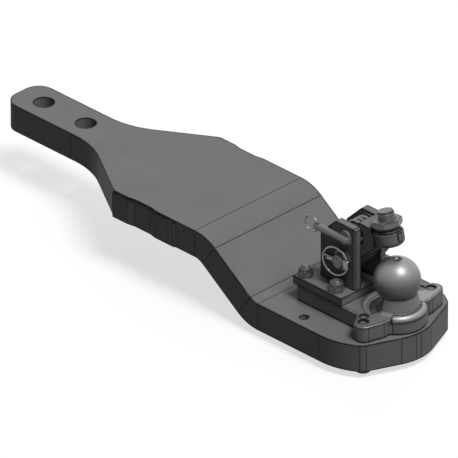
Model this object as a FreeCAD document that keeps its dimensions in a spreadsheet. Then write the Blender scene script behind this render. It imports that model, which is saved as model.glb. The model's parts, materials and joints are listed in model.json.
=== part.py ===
# Swinging drawbar plate with a bolted coupling ball and a lever that holds the coupling down.
#
# Frame: the origin is on the axis of the front pin hole, at the arm's top face. +X runs along the
# drawbar to the ball, +Z is up. The near side of each pair is the one at negative Y.
import FreeCAD, Part
import math
import os
import re
import Sketcher
from FreeCAD import Placement, Rotation, Vector

# Driving dimensions in millimetres and degrees
SIZES = {
    # Drawbar plate
    "plate_thick": 50,
    "plate_drop": 80,
    "arm_tail": 55,
    "arm_half": 42.5,
    "arm_round": 30,
    "pin_hole": 35,
    "pin_pitch": 100,
    "flare_angle": 32,
    "flare_round": 150,
    "flare_end": 293,
    "body_half": 126,
    "relief_start": 328,
    "relief_ramp": 15,
    "relief_length": 66,
    "relief_depth": 3,
    "rail_drop": 3.5,
    "rail_proud": 2.5,
    "rail_end": 440,
    "bend_start": 485,
    "bend_angle": 35.5,
    "bend_outside": 80,
    "shoulder_back": 15,
    "shoulder_angle": 35,
    "shoulder_round": 120,
    "cheekbone_length": 44,
    "cheekbone_round": 20,
    "nose_angle": 67,
    "nose_round": 95,
    "side_hole": 15,
    "side_hole_back": 115,
    "side_hole_out": 102,
    # Ball block
    "ball_reach": 833,
    "ball_radius": 40,
    "ball_height": 78,
    "neck_radius": 26,
    "neck_root_round": 7.5,
    "skirt_top_radius": 33.4,
    "skirt_lean": 13,
    "skirt_round": 6.5,
    "skirt_angle": 180,
    "flange_radius": 51,
    "flange_height": 21.5,
    "flange_root_round": 9.6,
    "collar_height": 32.2,
    "collar_round": 9.5,
    "collar_ledge": 0.8,
    "flange_sink": 3,
    "collar_angle": 110,
    "dish_floor": 23,
    "dish_floor_radius": 48,
    "dish_slope": 38,
    "dish_floor_round": 8.9,
    "dish_rim_round": 5.8,
    "dish_angle": 160,
    "block_rear_back": 168,
    "block_half": 70,
    "block_height": 30,
    "block_round": 8,
    "block_edge": 2,
    "block_front_ahead": 26.8,
    "block_front_half": 57,
    "lobe_root_back": 23.6,
    "lobe_corner_ahead": 9.3,
    "lobe_corner_out": 123.7,
    "lobe_round": 16.6,
    "lobe_bolt_out": 80,
    "dowel_back": 11.5,
    "dowel_out": 67,
    "dowel_size": 14,
    "dowel_sink": 2,
    "dowel_depth": 20,
    "centre_hole": 6,
    "centre_sink": 13,
    "centre_depth": 12,
    # Bolts, washers and lock nuts
    "bolt_size": 16,
    "bolt_flats": 24,
    "bolt_head": 10,
    "bolt_gap": 0.05,
    "bolt_point": 1.5,
    "bevel_angle": 30,
    "right_angle": 90,
    "bolt_clearance": 0.75,
    "washer_outer": 30,
    "washer_thick": 3,
    "nut_height": 12,
    "nut_collar": 5.5,
    "nut_collar_outer": 22,
    "bolt_proud": 2.5,
    "lobe_bolt_sink": 3,
    "clamp_back": 157,
    "clamp_pitch": 71.5,
    "clamp_out": 56,
    # Hold-down frame
    "base_back": 171.5,
    "base_length": 112,
    "base_half": 71.5,
    "base_thick": 15,
    "cheek_back": 140.5,
    "cheek_length": 79,
    "cheek_height": 116.5,
    "cheek_thick": 15,
    "cheek_gap": 46,
    "cheek_slope": 34,
    "cheek_bevel": 4,
    "cheek_edge": 3,
    # Hinge bolt of the lever
    "hinge_back": 88,
    "hinge_height": 50.5,
    "hinge_size": 25,
    "hinge_flats": 36,
    "hinge_head": 15,
    "hinge_proud": 16,
    "hinge_edge": 2.5,
    "hinge_washer_outer": 44,
    "hinge_washer_thick": 3,
    "linch_washer_outer": 38.5,
    "linch_washer_thick": 4,
    "hub_radius": 20,
    "bush_wall": 2.5,
    "bush_proud": 0.4,
    "running_gap": 0.05,
    "side_gap": 0.7,
    # Lever
    "lever_top": 122,
    "lever_rear_ahead": 19,
    "lever_hook_ahead": 14.5,
    "lever_hook_high": 109,
    "lever_front_ahead": 55,
    "lever_toe_ahead": 21,
    "lever_toe_low": 44,
    "lever_toe_high": 52,
    "lever_belly_ahead": 57,
    "lever_belly_height": 87,
    "screw_lean": 13.5,
    "boss_radius": 25,
    "boss_low": 62.5,
    "boss_foot": 9.5,
    "boss_high": 87.5,
    "boss_round": 2.5,
    "boss_step": 9,
    "boss_step_in": 3.5,
    "boss_shoulder": 4,
    "boss_shoulder_in": 2,
    "nose_width": 8,
    "nose_proud": 1.2,
    "screw_size": 30,
    "screw_low": 61.5,
    "screw_length": 62,
    "screw_edge": 2,
    "jam_flats": 46,
    "jam_height": 12,
    "jam_seat_gap": 0.7,
    # Spring-loaded lock pin
    "lock_ahead": 7,
    "lock_height": 97,
    "lock_size": 25,
    "lock_tip": 29,
    "lock_tip_edge": 3,
    "hook_width": 4,
    "seat_gap": 0.1,
    "spring_outer": 43,
    "spring_wire": 6,
    "spring_room": 1.5,
    "spring_turns": 3.25,
    "stop_washer": 40,
    "stop_washer_thick": 2,
    "washer_place": 14.5,
    "clip_thick": 1.5,
    "clip_outer": 31,
    "clip_groove": 1,
    "bar_size": 12,
    "bar_rear": 63,
    "bar_front": 18,
    "bar_edge": 1.5,
    "bar_out": 47.5,
    "bar_bed": 2.5,
    "ring_radius": 16,
    "ring_wire": 3,
    "ring_hole": 5.5,
    "ring_hole_inset": 5,
    # Linch pin
    "linch_size": 9.5,
    "linch_tilt": 5,
    "linch_tail": 38,
    "linch_end": 6.5,
    "linch_taper": 4,
    "linch_head_radius": 8.5,
    "linch_head_half": 4.7,
    "linch_head_length": 11,
    "linch_gap": 0.25,
    "linch_stand": 0.5,
    "linch_head_edge": 1.5,
    "linch_ring_radius": 25.5,
    "linch_wire": 4,
    "linch_ring_hole": 7,
    "linch_open": 8,
}

doc = FreeCAD.newDocument("Drawbar")
sheet = doc.addObject("Spreadsheet::Sheet", "Sizes")
for row, (alias, number) in enumerate(SIZES.items(), start=1):
    sheet.set(f"A{row}", alias)
    sheet.set(f"B{row}", str(number))
    sheet.setAlias(f"B{row}", alias)
doc.recompute()

# Heights and places that several pieces share
DECK = "(-plate_drop)"
UNDERSIDE = "(-plate_drop - plate_thick)"
BLOCK_TOP = "(-plate_drop + block_height)"
BASE_TOP = "(-plate_drop + block_height + base_thick)"
BALL_Z = "(-plate_drop + ball_height)"
HINGE_Z = f"({BASE_TOP} + hinge_height)"
LOCK_Z = f"({BASE_TOP} + lock_height)"
CHEEK_OUT = "(cheek_gap / 2 + cheek_thick)"
LEVER_HALF = "(cheek_gap / 2 - side_gap)"
JAM_SEAT = "(boss_high + boss_step)"
HINGE_X = "(ball_reach - hinge_back)"
LOCK_X = f"({HINGE_X} + lock_ahead)"
CLAMP_X = "(ball_reach - clamp_back)"
BASE_X = "(ball_reach - base_back)"
CHEEK_X = "(ball_reach - cheek_back)"
CHEEK_FRONT = f"({CHEEK_X} + cheek_length)"
SHOULDER_X = "(ball_reach - shoulder_back)"
DOWEL_X = "(ball_reach - dowel_back)"


def bound(expression):
    """The expression with each size named as a cell of the sheet."""
    return re.sub(r"[a-z]+(_[a-z0-9]+)+", r"Sizes.\g<0>", expression)


def size(expression):
    """The present value of an expression of sizes."""
    return float(sheet.evalExpression(bound(expression)))


def new_body(label):
    """An empty body whose label names its file."""
    body = doc.addObject("PartDesign::Body", label)
    body.Label = label
    return body


def place(piece, x="0", y="0", z="0", about=Vector(0, 0, 1), turn="0"):
    """Stand a piece at bound coordinates, turned about one axis by a bound angle."""
    piece.Placement = Placement(Vector(), Rotation(about, size(turn)))
    for axis, text in zip("xyz", (x, y, z)):
        piece.setExpression(f"Placement.Base.{axis}", bound(text))
    if turn != "0":
        piece.setExpression("Placement.Rotation.Angle", bound(turn))


def sketch(body, role, across="0", up="0", level="0", about=Vector(0, 0, 1), turn="0"):
    """An empty sketch on one of the body's own planes, moved and turned by bound amounts."""
    plane = next(item for item in body.Origin.OriginFeatures if item.Role == role)
    made = body.newObject("Sketcher::SketchObject", "Sketch")
    made.AttachmentSupport = [(plane, "")]
    made.MapMode = "FlatFace"
    made.AttachmentOffset = Placement(Vector(), Rotation(about, size(turn)))
    for axis, text in zip("xyz", (across, up, level)):
        made.setExpression(f"AttachmentOffset.Base.{axis}", bound(text))
    if turn != "0":
        made.setExpression("AttachmentOffset.Rotation.Angle", bound(turn))
    return made


def hold_point(made, geometry, position, across, up):
    """Bind a point of a sketch to its two distances from the sketch's origin."""
    for kind, text, axis in (("DistanceX", across, -2), ("DistanceY", up, -1)):
        if text == "0":
            made.addConstraint(Sketcher.Constraint("PointOnObject", geometry, position, axis))
        else:
            rule = Sketcher.Constraint(kind, -1, 1, geometry, position, size(text))
            index = made.addConstraint(rule)
            made.setExpression(f"Constraints[{index}]", bound(text))


def arc(start, end, radius):
    """The anticlockwise arc of less than half a turn from one point to another."""
    chord = end - start
    reach = math.sqrt(radius ** 2 - (chord.Length / 2) ** 2)
    leftward = Vector(-chord.y, chord.x, 0).normalize()
    centre = (start + end) / 2 + leftward * reach
    first, last = (math.atan2((p - centre).y, (p - centre).x) for p in (start, end))
    return Part.ArcOfCircle(Part.Circle(centre, Vector(0, 0, 1), radius), first, last)


def outline(made, points):
    """A closed outline through bound corners.

    A corner is its two distances. A third value is the radius of an arc from it to the next
    corner, which runs anticlockwise, or clockwise where "hollow" follows.
    """
    first = made.GeometryCount
    places = [Vector(size(point[0]), size(point[1]), 0) for point in points]
    ends = [(2, 1) if "hollow" in point else (1, 2) for point in points]
    for point, here, there in zip(points, places, places[1:] + places[:1]):
        if len(point) == 2:
            made.addGeometry(Part.LineSegment(here, there))
        elif "hollow" in point:
            made.addGeometry(arc(there, here, size(point[2])))
        else:
            made.addGeometry(arc(here, there, size(point[2])))
    for i, point in enumerate(points):
        after = (i + 1) % len(points)
        made.addConstraint(Sketcher.Constraint(
            "Coincident", first + i, ends[i][1], first + after, ends[after][0]))
        hold_point(made, first + i, ends[i][0], point[0], point[1])
        if len(point) > 2:
            rule = made.addConstraint(Sketcher.Constraint("Radius", first + i, size(point[2])))
            made.setExpression(f"Constraints[{rule}]", bound(point[2]))


def circle(made, radius, across="0", up="0"):
    """A circle with a bound centre and radius."""
    centre = Vector(size(across), size(up), 0)
    index = made.addGeometry(Part.Circle(centre, Vector(0, 0, 1), size(radius)))
    hold_point(made, index, 3, across, up)
    rule = made.addConstraint(Sketcher.Constraint("Radius", index, size(radius)))
    made.setExpression(f"Constraints[{rule}]", bound(radius))


def mirrored(points):
    """The points of the far side, then those of the near side in the opposite order."""
    return points + [(x, f"(-1 * {y})") for x, y in reversed(points) if y != "0"]


def box_points(low_x, low_y, high_x, high_y):
    """The corners of a rectangle."""
    return [(low_x, low_y), (high_x, low_y), (high_x, high_y), (low_x, high_y)]


def pad(body, profile, length, side="One side", reverse=False):
    """Thicken a sketch along its normal."""
    made = body.newObject("PartDesign::Pad", "Pad")
    made.Profile = profile
    made.SideType = side
    made.Reversed = reverse
    made.setExpression("Length", bound(length))


def pocket(body, profile, length="", side="One side", reverse=False):
    """Cut a sketch into the body against its normal, or right through it."""
    made = body.newObject("PartDesign::Pocket", "Pocket")
    made.Profile = profile
    made.SideType = side
    made.Reversed = reverse
    if length:
        made.setExpression("Length", bound(length))
    else:
        made.Type = "ThroughAll"


def revolve(body, kind, profile, angle=""):
    """Turn a sketch about its upright axis, all round or by an angle about the middle."""
    made = body.newObject(f"PartDesign::{kind}", kind)
    made.Profile = profile
    made.ReferenceAxis = (profile, ["V_Axis"])
    made.Angle = 360
    if angle:
        made.Midplane = True
        made.setExpression("Angle", bound(angle))


def dress(body, kind, amount, wanted):
    """Round or bevel those edges of the body so far that the test picks."""
    doc.recompute()
    base = body.Tip
    names = [f"Edge{n}" for n, edge in enumerate(base.Shape.Edges, start=1) if wanted(edge)]
    made = body.newObject(f"PartDesign::{kind}", kind)
    made.Base = (base, names)
    made.setExpression("Radius" if kind == "Fillet" else "Size", bound(amount))


def edges_along(axis, *places):
    """Picks the straight edges along one axis at given places of the other two."""
    others = [name for name in "XYZ" if name != axis]
    spots = [(size(first), size(second)) for first, second in places]

    def wanted(edge):
        box = edge.BoundBox
        if any(getattr(box, f"{name}Length") > 0.01 for name in others):
            return False
        here = [getattr(box, f"{name}Min") for name in others]
        return any(math.dist(here, spot) < 0.05 for spot in spots)
    return wanted


def edges_level(*levels):
    """Picks the edges that lie flat at given heights."""
    heights = [size(level) for level in levels]

    def wanted(edge):
        box = edge.BoundBox
        return box.ZLength < 0.01 and any(abs(box.ZMin - height) < 0.02 for height in heights)
    return wanted


def rims(radius, *levels):
    """Picks the round edges of one radius that lie flat at given heights."""
    level = edges_level(*levels)
    reach = size(radius)

    def wanted(edge):
        curve = edge.Curve
        return level(edge) and isinstance(curve, Part.Circle) and abs(curve.Radius - reach) < 0.02
    return wanted


def hexagon(made, flats):
    """A hexagon about the sketch's origin, with two corners on its first axis."""
    far = f"({flats} / sqrt(3))"
    half = f"({flats} / sqrt(3) / 2)"
    side = f"({flats} / 2)"
    outline(made, [(far, "0"), (half, side), (f"(-1 * {half})", side),
                   (f"(-1 * {far})", "0"), (f"(-1 * {half})", f"(-1 * {side})"),
                   (half, f"(-1 * {side})")])


def hex_prism(body, flats, low, high, bevels):
    """A hexagon between two heights, its corners bevelled at the chosen ends."""
    profile = sketch(body, "XY_Plane", level=low)
    hexagon(profile, flats)
    pad(body, profile, f"({high} - {low})")
    corner = f"({flats} / sqrt(3) + bolt_point)"
    start = f"({flats} / 2)"
    fall = f"(({corner} - {start}) * tan(bevel_angle))"
    for end, sign in ((high, "-"), (low, "+")):
        if end not in bevels:
            continue
        cut = sketch(body, "XZ_Plane")
        points = [(start, end), (corner, f"({end} {sign} {fall})"), (corner, end)]
        outline(cut, points if sign == "-" else [points[0], points[2], points[1]])
        revolve(body, "Groove", cut)


def rod(body, radius, low, high):
    """A round length of the body between two heights."""
    profile = sketch(body, "XY_Plane", level=low)
    circle(profile, radius)
    pad(body, profile, f"({high} - {low})")


def hex_bolt(label, diameter, flats, head, length, point):
    """A bolt that stands on its head, with the head's seat at height 0."""
    body = new_body(label)
    hex_prism(body, flats, f"(-1 * {head})", "0", [f"(-1 * {head})"])
    rod(body, f"({diameter} / 2)", "0", length)
    dress(body, "Chamfer", point, rims(f"({diameter} / 2)", length))
    return body


def washer(label, outer, bore, thick):
    """A flat ring that stands on height 0."""
    body = new_body(label)
    profile = sketch(body, "XY_Plane")
    circle(profile, f"({outer} / 2)")
    circle(profile, bore)
    pad(body, profile, thick)
    return body


# Plan of the drawbar, given for the far side, and its side profile
BEND_TURN = "tan(bend_angle / 2)"
UPPER_BEND_X = f"(bend_start + bend_outside * {BEND_TURN})"
LOWER_BEND_X = f"({UPPER_BEND_X} + plate_drop / tan(bend_angle))"
UNDER_SHIFT = f"(plate_thick * {BEND_TURN})"
FLARE_START = "(flare_end - (body_half - arm_half) / tan(flare_angle))"
RELIEF_END = "(relief_start + relief_length)"
RELIEF_HALF = "(body_half - relief_depth)"
CHEEKBONE_X = f"({SHOULDER_X} + cheekbone_length * cos(shoulder_angle))"
CHEEKBONE_Y = "(body_half - cheekbone_length * sin(shoulder_angle))"
NOSE_X = f"({CHEEKBONE_X} + {CHEEKBONE_Y} / tan(nose_angle))"
HALF_PLAN = [
    ("-arm_tail", "arm_half"),
    (FLARE_START, "arm_half"),
    ("flare_end", "body_half"),
    ("relief_start", "body_half"),
    ("(relief_start + relief_ramp)", RELIEF_HALF),
    (f"({RELIEF_END} - relief_ramp)", RELIEF_HALF),
    (RELIEF_END, "body_half"),
    (SHOULDER_X, "body_half"),
    (CHEEKBONE_X, CHEEKBONE_Y),
    (NOSE_X, "0"),
]
RAIL_INSIDE = "(body_half - 3 * relief_depth)"
RAIL_FACE = "(body_half + rail_proud)"
HALF_RAIL = [
    ("flare_end", RAIL_INSIDE),
    ("flare_end", RAIL_FACE),
    ("relief_start", RAIL_FACE),
    ("(relief_start + relief_ramp)", f"({RAIL_FACE} - relief_depth)"),
    (f"({RELIEF_END} - relief_ramp)", f"({RAIL_FACE} - relief_depth)"),
    (RELIEF_END, RAIL_FACE),
    ("(rail_end - relief_depth)", RAIL_FACE),
    ("rail_end", "body_half"),
    ("rail_end", RAIL_INSIDE),
]


def make_drawbar_plate():
    """The thick bar: a pinned arm that flares into a wide plate, cranked down to the ball."""
    body = new_body("drawbar_plate")
    side = sketch(body, "XZ_Plane")
    spare = "plate_thick"
    outline(side, [
        ("-arm_tail", "-plate_thick"),
        (f"({UPPER_BEND_X} - {UNDER_SHIFT})", "-plate_thick"),
        (f"({LOWER_BEND_X} - {UNDER_SHIFT})", UNDERSIDE),
        (f"({NOSE_X} + {spare} / 2)", UNDERSIDE),
        (f"({NOSE_X} + {spare} / 2)", DECK),
        (LOWER_BEND_X, DECK),
        (UPPER_BEND_X, "0"),
        ("-arm_tail", "0"),
    ])
    pad(body, side, f"(2 * body_half + {spare})", "Symmetric")
    dress(body, "Fillet", "bend_outside", edges_along(
        "Y", (UPPER_BEND_X, "0"), (f"({LOWER_BEND_X} - {UNDER_SHIFT})", UNDERSIDE)))
    dress(body, "Fillet", "(bend_outside - plate_thick)", edges_along(
        "Y", (f"({UPPER_BEND_X} - {UNDER_SHIFT})", "-plate_thick"), (LOWER_BEND_X, DECK)))

    plan = sketch(body, "XY_Plane")
    outline(plan, box_points(f"(-arm_tail - {spare})", f"(-body_half - {spare})",
                             f"({NOSE_X} + {spare})", f"(body_half + {spare})"))
    outline(plan, mirrored(HALF_PLAN))
    pocket(body, plan)
    upright = [("arm_round", "-arm_tail", "arm_half"),
               ("flare_round", FLARE_START, "arm_half"),
               ("shoulder_round", SHOULDER_X, "body_half"),
               ("cheekbone_round", CHEEKBONE_X, CHEEKBONE_Y),
               ("nose_round", NOSE_X, "0")]
    for amount, x, y in upright:
        dress(body, "Fillet", amount, edges_along("Z", (x, y), (x, f"(-1 * {y})")))

    rails = sketch(body, "XY_Plane", level="-plate_thick")
    outline(rails, HALF_RAIL)
    outline(rails, [(x, f"(-1 * {y})") for x, y in HALF_RAIL])
    pad(body, rails, "(plate_thick - rail_drop)")

    holes = sketch(body, "XY_Plane")
    for x in ("0", "pin_pitch"):
        circle(holes, "(pin_hole / 2)", x)
    for side_sign in ("", "-1 * "):
        circle(holes, "(side_hole / 2)", "(ball_reach - side_hole_back)",
               f"({side_sign}side_hole_out)")
    for x, y in CLAMP_PLACES + LOBE_PLACES:
        circle(holes, BOLT_WAY, x, y)
    pocket(body, holes)

    dowels = sketch(body, "XY_Plane", level=DECK)
    for x, y in DOWEL_PLACES:
        circle(dowels, "(dowel_size / 2)", x, y)
    pocket(body, dowels, "dowel_depth")
    return body


def make_ball_block():
    """The forged block on the bar: two bolted lobes, a dished seat, a collar, a neck and the ball."""
    body = new_body("ball_block")
    plan = sketch(body, "XY_Plane", level=DECK)
    outline(plan, mirrored([
        ("(ball_reach - block_rear_back)", "block_half"),
        ("(ball_reach - lobe_root_back)", "block_half"),
        ("(ball_reach + lobe_corner_ahead)", "lobe_corner_out"),
        ("(ball_reach + block_front_ahead)", "block_front_half"),
    ]))
    pad(body, plan, "block_height")
    upright = [("block_round", "(ball_reach - block_rear_back)", "block_half"),
               ("block_round", "(ball_reach - lobe_root_back)", "block_half"),
               ("lobe_round", "(ball_reach + lobe_corner_ahead)", "lobe_corner_out")]
    for amount, x, y in upright:
        dress(body, "Fillet", amount, edges_along("Z", (x, y), (x, f"(-1 * {y})")))
    dress(body, "Fillet", "block_edge", edges_level(BLOCK_TOP))

    floor = f"({DECK} + dish_floor)"
    rim = "(dish_floor_radius + (block_height - dish_floor) / tan(dish_slope))"
    low_bend = "(dish_floor_round * tan(dish_slope / 2))"
    high_bend = "(dish_rim_round * tan(dish_slope / 2))"
    dish = sketch(body, "XZ_Plane", "ball_reach", about=Vector(0, 1, 0), turn="(2 * right_angle)")
    outline(dish, [
        ("0", floor),
        (f"(dish_floor_radius - {low_bend})", floor, "dish_floor_round"),
        (f"(dish_floor_radius + {low_bend} * cos(dish_slope))",
         f"({floor} + {low_bend} * sin(dish_slope))"),
        (f"({rim} - {high_bend} * cos(dish_slope))",
         f"({BLOCK_TOP} - {high_bend} * sin(dish_slope))", "dish_rim_round", "hollow"),
        (f"({rim} + {high_bend})", BLOCK_TOP),
        ("0", BLOCK_TOP),
    ])
    revolve(body, "Groove", dish, "dish_angle")

    flange_top = f"({DECK} + flange_height)"
    neck_z = f"({BALL_Z} - sqrt(ball_radius * ball_radius - neck_radius * neck_radius))"
    ball = sketch(body, "XZ_Plane", across="ball_reach")
    outline(ball, [
        ("0", DECK),
        ("flange_radius", DECK),
        ("flange_radius", flange_top),
        ("(neck_radius + neck_root_round)", flange_top),
        ("(neck_radius + neck_root_round)", floor, "neck_root_round", "hollow"),
        ("neck_radius", f"({floor} + neck_root_round)"),
        ("neck_radius", neck_z, "ball_radius"),
        ("0", f"({BALL_Z} + ball_radius)"),
    ])
    revolve(body, "Revolution", ball)

    top_squared = "skirt_top_radius * skirt_top_radius"
    skirt_top = f"({BALL_Z} - sqrt(ball_radius * ball_radius - {top_squared}))"
    foot = f"(skirt_top_radius + ({skirt_top} - {BLOCK_TOP}) * tan(skirt_lean))"
    foot_bend = "(skirt_round * tan((right_angle - skirt_lean) / 2))"
    skirt = sketch(body, "XZ_Plane", across="ball_reach")
    outline(skirt, [
        ("(neck_radius / 2)", floor),
        (f"({foot} + {foot_bend})", floor),
        (f"({foot} + {foot_bend})", BLOCK_TOP, "skirt_round", "hollow"),
        (f"({foot} - {foot_bend} * sin(skirt_lean))", f"({BLOCK_TOP} + {foot_bend} * cos(skirt_lean))"),
        ("skirt_top_radius", skirt_top),
        ("(neck_radius / 2)", skirt_top),
    ])
    revolve(body, "Revolution", skirt, "skirt_angle")

    collar_top = f"({DECK} + collar_height)"
    collar_edge = "(flange_radius - collar_ledge)"
    collar = sketch(body, "XZ_Plane", across="ball_reach")
    outline(collar, [
        ("neck_radius", f"({flange_top} - flange_sink)"),
        (collar_edge, f"({flange_top} - flange_sink)"),
        (collar_edge, f"({collar_top} - collar_round)", "collar_round"),
        (f"({collar_edge} - collar_round)", collar_top),
        ("neck_radius", collar_top),
    ])
    revolve(body, "Revolution", collar, "collar_angle")

    root_ahead = "(block_front_ahead + flange_root_round)"
    root_far = "(flange_radius + flange_root_round)"
    root_out = f"sqrt({root_far} * {root_far} - {root_ahead} * {root_ahead})"
    on_front = ("(ball_reach + block_front_ahead)", root_out)
    on_flange = (f"(ball_reach + {root_ahead} * flange_radius / {root_far})",
                 f"({root_out} * flange_radius / {root_far})")
    roots = sketch(body, "XY_Plane", level=DECK)
    outline(roots, [("ball_reach", on_flange[1]), (*on_flange, "flange_root_round", "hollow"), on_front])
    outline(roots, [("ball_reach", f"(-1 * {on_flange[1]})"),
                    (on_front[0], f"(-1 * {root_out})", "flange_root_round", "hollow"),
                    (on_flange[0], f"(-1 * {on_flange[1]})")])
    pad(body, roots, "flange_height")

    pole = f"({BALL_Z} + ball_radius)"
    rim_drop = "(ball_radius - sqrt(ball_radius * ball_radius - centre_sink * centre_sink / 4))"
    centre = sketch(body, "XZ_Plane", across="ball_reach")
    outline(centre, [
        ("0", f"({pole} - centre_depth)"),
        ("(centre_hole / 2)", f"({pole} - centre_depth)"),
        ("(centre_hole / 2)", f"({pole} - {rim_drop} - centre_sink / 2 + centre_hole / 2)"),
        (f"(centre_sink / 2 + {rim_drop})", pole),
        ("0", pole),
    ])
    revolve(body, "Groove", centre)

    holes = sketch(body, "XY_Plane", level=BLOCK_TOP)
    for x, y in LOBE_PLACES:
        circle(holes, "(bolt_size / 2 + bolt_gap)", x, y)
    for x, y in DOWEL_PLACES:
        circle(holes, "(dowel_size / 2)", x, y)
    for x, y in CLAMP_PLACES:
        circle(holes, BOLT_WAY, x, y)
    pocket(body, holes)
    return body


def make_dowel(label, x, y):
    """A ground pin that takes the side load between the block and the bar."""
    body = new_body(label)
    rod(body, "(dowel_size / 2)", "-dowel_depth", "(block_height - dowel_sink)")
    dress(body, "Chamfer", "bolt_point / 2", edges_level("(block_height - dowel_sink)"))
    place(body, x, y, DECK)
    return body


def make_clamp_bolt(label, x, y, length):
    """A hexagon bolt whose head lies under the bar."""
    body = hex_bolt(label, "bolt_size", "bolt_flats", "bolt_head", length, "bolt_point")
    place(body, x, y, f"({UNDERSIDE} - washer_thick)")
    return body


def make_lock_nut(label, x, y):
    """A hexagon nut with a round locking collar on top."""
    body = new_body(label)
    hex_prism(body, "bolt_flats", "0", "nut_height", ["0", "nut_height"])
    rod(body, "(nut_collar_outer / 2)", "nut_height", "(nut_height + nut_collar)")
    dress(body, "Fillet", "bolt_point", rims("(nut_collar_outer / 2)", "(nut_height + nut_collar)"))
    bore = sketch(body, "XY_Plane", level="(nut_height + nut_collar)")
    circle(bore, "(bolt_size / 2 + bolt_gap)")
    pocket(body, bore)
    place(body, x, y, BASE_TOP)
    return body


def bolt_washer(label, x, y):
    """The washer between a bolt's head and the bar's underside."""
    body = washer(label, "washer_outer", BOLT_WAY, "washer_thick")
    place(body, x, y, f"({UNDERSIDE} - washer_thick)")
    return body


def make_hold_down_base():
    """The base plate of the hold-down frame, clamped over the block's rear."""
    body = new_body("hold_down_base")
    plan = sketch(body, "XY_Plane", level=BLOCK_TOP)
    outline(plan, box_points(BASE_X, "-base_half", f"({BASE_X} + base_length)", "base_half"))
    for x, y in CLAMP_PLACES:
        circle(plan, BOLT_WAY, x, y)
    pad(body, plan, "base_thick")
    return body


def make_cheek(label, sign):
    """One upright side plate, bored for the hinge bolt and the lock pin."""
    body = new_body(label)
    top = f"({BASE_TOP} + cheek_height)"
    side = sketch(body, "XZ_Plane")
    outline(side, [
        (CHEEK_X, BASE_TOP),
        (CHEEK_FRONT, BASE_TOP),
        (CHEEK_FRONT, f"({top} - cheek_bevel)"),
        (f"({CHEEK_FRONT} - cheek_bevel)", top),
        (f"({CHEEK_X} + cheek_slope)", top),
        (CHEEK_X, f"({top} - cheek_slope)"),
    ])
    circle(side, "(hinge_size / 2 + running_gap)", HINGE_X, HINGE_Z)
    circle(side, "(lock_size / 2 + running_gap)", LOCK_X, LOCK_Z)
    pad(body, side, "cheek_thick", "Symmetric")
    dress(body, "Chamfer", "cheek_edge", edges_along("Z", (CHEEK_FRONT, f"({sign} * cheek_thick / 2)")))
    place(body, y=f"({sign} * (cheek_gap + cheek_thick) / 2)")
    return body


def make_hinge_bolt():
    """The lever's hinge bolt: head outside the far cheek, drilled for the linch pin at its end."""
    through = f"(2 * {CHEEK_OUT} + hinge_washer_thick + hinge_proud)"
    body = hex_bolt("hinge_bolt", "hinge_size", "hinge_flats", "hinge_head", through, "hinge_edge")
    hole = sketch(body, "YZ_Plane", about=Vector(0, 1, 0), turn="linch_tilt")
    circle(hole, "(linch_size / 2 + linch_gap)", "0", f"({CHEEK_OUT} + hinge_washer_thick - {LINCH_Y})")
    pocket(body, hole, side="Symmetric")
    place(body, HINGE_X, f"({CHEEK_OUT} + hinge_washer_thick)", HINGE_Z, Vector(1, 0, 0), "right_angle")
    return body


def make_hinge_washer():
    """The washer under the hinge bolt's head."""
    body = washer("hinge_washer", "hinge_washer_outer", "(hinge_size / 2 + bolt_clearance)",
                  "hinge_washer_thick")
    place(body, HINGE_X, f"({CHEEK_OUT} + hinge_washer_thick)", HINGE_Z, Vector(1, 0, 0), "right_angle")
    return body


def make_linch_washer():
    """The washer between the near cheek and the linch pin."""
    body = washer("linch_washer", "linch_washer_outer", "(hinge_size / 2 + bolt_clearance)",
                  "linch_washer_thick")
    place(body, HINGE_X, f"(-1 * {CHEEK_OUT})", HINGE_Z, Vector(1, 0, 0), "right_angle")
    return body


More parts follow.
